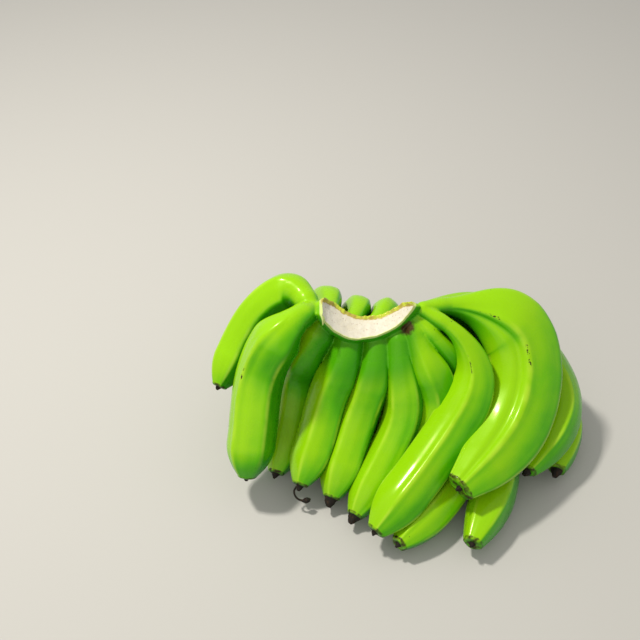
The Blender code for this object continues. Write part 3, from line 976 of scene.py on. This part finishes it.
def add_stub(bm, grown):
    """The first stretch of a neck: wider than the finger at the crown, and just inside it at its end."""
    rings = []
    for i in range(STUB_RINGS):
        far = i / (STUB_RINGS - 1)
        at = far * STUB_LENGTH / grown["length"] * (RINGS - 1)
        low = int(at)
        blend = at - low

        def read(key_name):
            values = grown[key_name]
            return values[low] * (1 - blend) + values[low + 1] * blend

        radius = read("thick") * (1 + STUB_FLARE * (1 - far) ** 2) + STUB_SWELL * (1 - far) - STUB_SINK * far**3
        ring = []
        for k in range(STUB_SIDES):
            angle = 2 * math.pi * k / STUB_SIDES
            wave = max(0.5 + 0.5 * math.cos(RIDGES * angle), 0.0) ** LOBE_SHARPNESS
            out = radius * (1 + read("relief") * LOBE_HEIGHT * (wave - LOBE_MIDDLE))
            turned = angle + grown["roll"]
            across = math.cos(turned) * read("facing") + math.sin(turned) * read("breadth") * read("side")
            ring.append(Vector(read("line") + out * across))
        rings.append(ring)
    # a rounded root, which closes the last necks against the cushion's ends
    root = Vector(grown["line"][0])
    back = (root - Vector(grown["line"][1])).normalized() * (rings[0][0] - root).length
    domes = [[root + math.cos(turn) * (point - root) + math.sin(turn) * back for point in rings[0]]
             for turn in ROOT_DOME]
    loft(bm, domes + rings)


middle_front, middle_rear = cut_edges(0)
print(f"the cut is {(middle_rear - middle_front) * 1000:.0f} mm broad in its middle")

# %% Fuse the cushion and the necks
SMOOTHINGS = 9


def apply_modifier(obj, kind, **settings):
    modifier = obj.modifiers.new(kind.lower(), kind)
    for key_name, value in settings.items():
        setattr(modifier, key_name, value)
    bpy.context.view_layer.update()
    mesh = bpy.data.meshes.new_from_object(obj.evaluated_get(bpy.context.evaluated_depsgraph_get()))
    obj.modifiers.remove(modifier)
    obj.data = mesh


crown_bm = bmesh.new()
add_cushion(crown_bm)
for grown in spines.values():
    add_stub(crown_bm, grown)
crown = object_from(crown_bm, "crown")
apply_modifier(crown, "REMESH", mode="VOXEL", voxel_size=VOXEL)
apply_modifier(crown, "SMOOTH", factor=0.5, iterations=SMOOTHINGS)
print("crown before the cut:", len(crown.data.polygons), "faces")

# %% [markdown]
# The knife left a hollow, slightly wavy face, and it left an uneven rim of skin standing along the rear edge.
# A cylinder as wide as the stalk was, with a little noise on its radius and narrower at that rim, is taken
# away from the crown by a Boolean. Past both ends of the cut it is narrower still, so that it misses the last
# necks.

# %% Cut the crown off the stalk
KNIFE_SIDES = 320
KNIFE_FRONT = -0.020
KNIFE_REAR = 0.026
KNIFE_RINGS = 60
KNIFE_WAVE = 0.0004
KNIFE_END_DEGREES = 2.4
KNIFE_LIFT = 0.016
RIM_RISE = 0.0026
RIM_WIDTH = 0.0034


def make_knife():
    bm = bmesh.new()
    rings = []
    for i in range(KNIFE_RINGS + 1):
        y = KNIFE_FRONT + (KNIFE_REAR - KNIFE_FRONT) * i / KNIFE_RINGS
        ring = []
        for k in range(KNIFE_SIDES):
            angle = 2 * math.pi * k / KNIFE_SIDES
            wave = noise(Vector((math.sin(angle) * 9, y * 160, math.cos(angle) * 9)))
            lump = noise(Vector((math.sin(angle) * 17, y * 90, math.cos(angle) * 17 + 4)))
            turn = math.degrees(math.remainder(angle, 2 * math.pi))
            rear = cut_edges(turn)[1]
            near_rim = smooth_step(rear - RIM_WIDTH * (1 + 0.4 * lump), rear - 0.3 * RIM_WIDTH, y)
            radius = STALK_RADIUS + KNIFE_WAVE * wave - RIM_RISE * (0.75 + 0.5 * lump) * near_rim
            past_end = smooth_step(CUT_HALF_DEGREES, CUT_HALF_DEGREES + KNIFE_END_DEGREES, abs(turn))
            radius -= KNIFE_LIFT * past_end
            ring.append(CROWN_AXIS + Vector((radius * math.sin(angle), y, -radius * math.cos(angle))))
        rings.append(ring)
    loft(bm, rings)
    return object_from(bm, "knife")


knife = make_knife()
apply_modifier(crown, "BOOLEAN", operation="DIFFERENCE", solver="EXACT", object=knife)
bpy.data.objects.remove(knife, do_unlink=True)
print("crown after the cut:", len(crown.data.polygons), "faces")

# %% [markdown]
# The cut face shows what is inside: cream flesh, a rim of greener rind that dries tan, and the ends of the
# vessels as small grey-pink dots. All of that depends on how far a point is from the edge of the cut, so that
# distance is measured once and stored on the mesh.

# %% Mark the cut face
CUT_TOLERANCE = 0.0012
SQUARE_TO_CUT = 0.8
SHARP_ANGLE = math.radians(50)


def mark_cut(obj):
    mesh = obj.data
    centres, normals = np.empty((2, len(mesh.polygons) * 3))
    mesh.polygons.foreach_get("center", centres)
    mesh.polygons.foreach_get("normal", normals)
    centres, normals = centres.reshape(-1, 3), normals.reshape(-1, 3)
    inward = np.array(CROWN_AXIS) - centres
    inward[:, 1] = 0
    radius = np.linalg.norm(inward, axis=1)
    facing_in = (normals * inward).sum(axis=1) / radius
    on_cut = (np.abs(radius - STALK_RADIUS) < CUT_TOLERANCE) & (facing_in > SQUARE_TO_CUT)
    cut_points, other_points = set(), set()
    for polygon, cut in zip(mesh.polygons, on_cut):
        polygon.material_index = int(cut)
        polygon.use_smooth = True
        (cut_points if cut else other_points).update(polygon.vertices)
    border = [mesh.vertices[i].co for i in other_points & cut_points]
    tree = KDTree(len(border))
    for i, point in enumerate(border):
        tree.insert(point, i)
    tree.balance()
    rim = [tree.find(v.co)[2] if i in cut_points else 0.0 for i, v in enumerate(mesh.vertices)]
    set_attribute(mesh, "rim", "FLOAT", np.array(rim))
    mesh.set_sharp_from_angle(angle=SHARP_ANGLE)
    return int(on_cut.sum()), max(rim)


# %% Materials of the crown
FLESH = (0.640, 0.590, 0.470)
WET_FLESH = (0.700, 0.670, 0.590)
RIND = (0.600, 0.660, 0.260)
RIM_GREEN = (0.520, 0.560, 0.050)
TAN = (0.400, 0.290, 0.060)
VESSEL = (0.420, 0.300, 0.260)
STAIN = (0.045, 0.022, 0.008)
STAIN_PLACE = crown_point(math.radians(41), 0.011, 0.000)
STAIN_RADIUS = 0.009


def make_flesh():
    made, tree, place = start_material("cut_flesh", FLESH, 0.5)
    rim = named(tree, "rim", "Fac")
    split = apart(tree, vector(tree, "SUBTRACT", place, tuple(CROWN_CENTRE)))
    cloud = noise_value(tree, place, 260.0, 4.0, 0.6)
    # the left end is freshly torn and whiter, the rest has dried a little
    fresh = remap(tree, split["X"], -0.020, -0.036)
    colour = mix_colour(tree, remap(tree, cloud, 0.20, 0.85), FLESH, WET_FLESH)
    colour = mix_colour(tree, fresh, colour, WET_FLESH)
    cells = add(tree, "ShaderNodeTexVoronoi", {"Vector": place, "Scale": 520.0})
    dot = remap(tree, cells.outputs["Distance"], 0.34, 0.18)
    inner = remap(tree, rim, 0.0025, 0.0045)
    colour = mix_colour(tree, product(tree, dot, inner, 0.16), colour, VESSEL)
    # rind at the edge: pale green in front, tan at the back
    wavy = calc(tree, "ADD", rim, swing(tree, cloud, 0.0016))
    rind = mix_colour(tree, remap(tree, split["Y"], 0.0, 0.006), RIND, TAN)
    colour = mix_colour(tree, remap(tree, wavy, 0.0014, 0.0003), colour, rind)
    rough = remap(tree, cloud, 0.3, 0.7, 0.28, 0.55)
    height = calc(tree, "ADD", cloud, product(tree, cells.outputs["Distance"], 0.5))
    return finish_material(made, colour, rough, height, 0.4, 0.0003)


def make_crown_peel():
    made, tree, place = start_material("crown_peel", GREEN, 0.35)
    # painted light and shade by the key lamp's direction, on the crown's skin too
    colour = peel_with_painted_light(tree, place)
    grain = noise_value(tree, place, 420.0, 4.0, 0.6)
    colour = mix_colour(tree, product(tree, remap(tree, grain, 0.5, 0.75), 0.10), colour, RIDGE_GREEN)
    # painted shadow of the crown on the cushion and the necks under the cut
    colour, below, split = painted_crown_shadow(tree, place, colour)
    # the pale lip under the cut
    below = calc(tree, "ADD", below, swing(tree, grain, 0.0012))
    lip = product(tree, remap(tree, below, 0.0026, 0.0016), remap(tree, below, -0.002, -0.0005), 0.85)
    colour = mix_colour(tree, lip, colour, RIND)
    # the dried rim ends where the cut does, so the last necks on either side stay green
    rim_colour = mix_colour(tree, remap(tree, noise_value(tree, place, 150.0), 0.42, 0.60), RIM_GREEN, TAN)
    sideways = calc(tree, "ABSOLUTE", split["X"])
    over = product(tree, remap(tree, below, 0.0016, 0.0), remap(tree, split["Y"], 0.004, 0.009),
                   remap(tree, sideways, 0.0430, 0.0405), 0.9)
    colour = mix_colour(tree, over, colour, rim_colour)
    # a bruise beside the cut, with a frayed edge, and a few specks
    away = vector(tree, "LENGTH", vector(tree, "SUBTRACT", place, tuple(STAIN_PLACE)))
    away = calc(tree, "ADD", away, swing(tree, grain, 0.006))
    stain = remap(tree, away, STAIN_RADIUS, STAIN_RADIUS * 0.5)
    dots = specks(tree, place, 130.0, 0.09, 0.15)
    colour = mix_colour(tree, calc(tree, "MAXIMUM", stain, dots), colour, STAIN)
    set_surface(made, WAX)
    return finish_material(made, colour, remap(tree, grain, 0.3, 0.7, 0.22, 0.42), grain, 0.3, 0.0002)


crown_peel = make_crown_peel()
crown.data.materials.clear()
crown.data.materials.append(crown_peel)
crown.data.materials.append(make_flesh())
cut_faces, deepest = mark_cut(crown)
print(f"{cut_faces} faces on the cut, up to {deepest * 1000:.1f} mm from its edge")
finish_piece(crown)

# %% [markdown]
# Each vessel that fed a finger ends in the cut as a small grey-pink dot, a little proud of the flesh that
# shrank round it. They stand in two uneven rows. One low dome is set on every point by a node tree, turned to
# face out of the cut.

# %% Vessel ends
VESSEL_RADIUS = 0.00050
VESSEL_ROWS = (0.36, 0.62)
VESSEL_STEP = 3.4
VESSEL_END = 58
DOME_INPUTS = {"Radius": ("Float", VESSEL_RADIUS), "Flatness": ("Float", 0.45), "Material": ("Material", None)}


def make_dome_tree():
    tree, given, end = new_tree("vessel ends", DOME_INPUTS)
    inputs = {"Segments": 9, "Rings": 5, "Radius": given["Radius"]}
    ball = add(tree, "GeometryNodeMeshUVSphere", inputs).outputs["Mesh"]
    squash = together(tree, 1.0, 1.0, given["Flatness"])
    dome = add(tree, "GeometryNodeTransform", {"Geometry": ball, "Scale": squash}).outputs[0]
    finish_tree(tree, set_on_points(tree, given, dome), given, end)
    return tree


chance = np.random.default_rng(8)
places, towards, sizes = [], [], []
for row, share in enumerate(VESSEL_ROWS):
    for degrees in np.arange(1.5 * row - VESSEL_END, VESSEL_END, VESSEL_STEP):
        degrees += chance.uniform(-1.2, 1.2)
        front, rear = cut_edges(degrees)
        y = front + (rear - front) * (share + chance.uniform(-0.07, 0.07))
        place = crown_point(math.radians(degrees), 0.0, y)
        places.append(place)
        towards.append((CROWN_AXIS + Vector((0, y, 0)) - place).normalized())
        sizes.append(chance.uniform(0.6, 1.25))
vessel_material, vessel_tree, vessel_place = start_material("vessel_ends", VESSEL, 0.55)
vessel_cloud = remap(vessel_tree, noise_value(vessel_tree, vessel_place, 700.0), 0.35, 0.65)
vessel_colour = mix_colour(vessel_tree, vessel_cloud, VESSEL, FLESH)
set_surface(vessel_material, {"Base Color": vessel_colour})
run_on_points(make_dome_tree(), places, towards, sizes, vessel_material, "vessel_ends")

# %% [markdown]
# The blade tore the last of the skin at the left end, so a small tongue of it hangs out. On another finger
# the thread that was the flower's style has dried on, curled, with a black bead at its end. Both are short
# tubes along a curve, so they share one helper.

# %% Torn tongue of skin and curled style
TUBE_RINGS = 28
TUBE_SIDES = 16


def tube(name, knots, radii, flatness, across, material):
    """A closed tube through the knots; radii along it, and how flat it is across that direction."""
    shares = np.linspace(0, 1, TUBE_RINGS)
    line, _ = smooth_line(knots, shares)
    thick = np.interp(shares, np.linspace(0, 1, len(radii)), radii)
    bm = bmesh.new()
    rings = []
    turns = [2 * math.pi * k / TUBE_SIDES for k in range(TUBE_SIDES)]
    for i, point in enumerate(line):
        ahead = Vector(line[min(i + 1, TUBE_RINGS - 1)]) - Vector(line[max(i - 1, 0)])
        wide = ahead.cross(across).normalized()
        high = wide.cross(ahead).normalized()
        radius = float(thick[i])
        rings.append([Vector(point) + radius * (math.cos(turn) * wide + flatness * math.sin(turn) * high)
                      for turn in turns])
    loft(bm, rings)
    made = object_from(bm, name)
    made.data.polygons.foreach_set("use_smooth", [True] * len(made.data.polygons))
    made.data.materials.append(material)
    return finish_piece(made)


tongue_knots = [crown_point(math.radians(a), d, y) for a, d, y in (
    (-63, 0.0015, -0.004), (-61, 0.0005, -0.0085), (-59, 0.0015, -0.0120), (-57, 0.0040, -0.0150))]
tongue_across = Vector((math.sin(math.radians(-60)), 0, -math.cos(math.radians(-60))))
tube("torn_skin", tongue_knots, (0.0030, 0.0034, 0.0026, 0.0012, 0.0004), 0.30, tongue_across, crown_peel)

STYLE_STEPS_MM = ((0, 0, 0), (-6, -5, -5), (-4, -9, -9), (2, -11, -11), (9, -10, -10))
style_root = Vector(spines["inner_3"]["line"][-1])
style_knots = [style_root + Vector(step) / 1000 for step in STYLE_STEPS_MM]
style_radii = (0.0020, 0.0012, 0.0010, 0.0009, 0.0009, 0.0009, 0.0009, 0.0009, 0.0010, 0.0026, 0.0027, 0.0006)
tube("curled_style", style_knots, style_radii, 1.0, Vector((0, 0, 1)), dried_material)
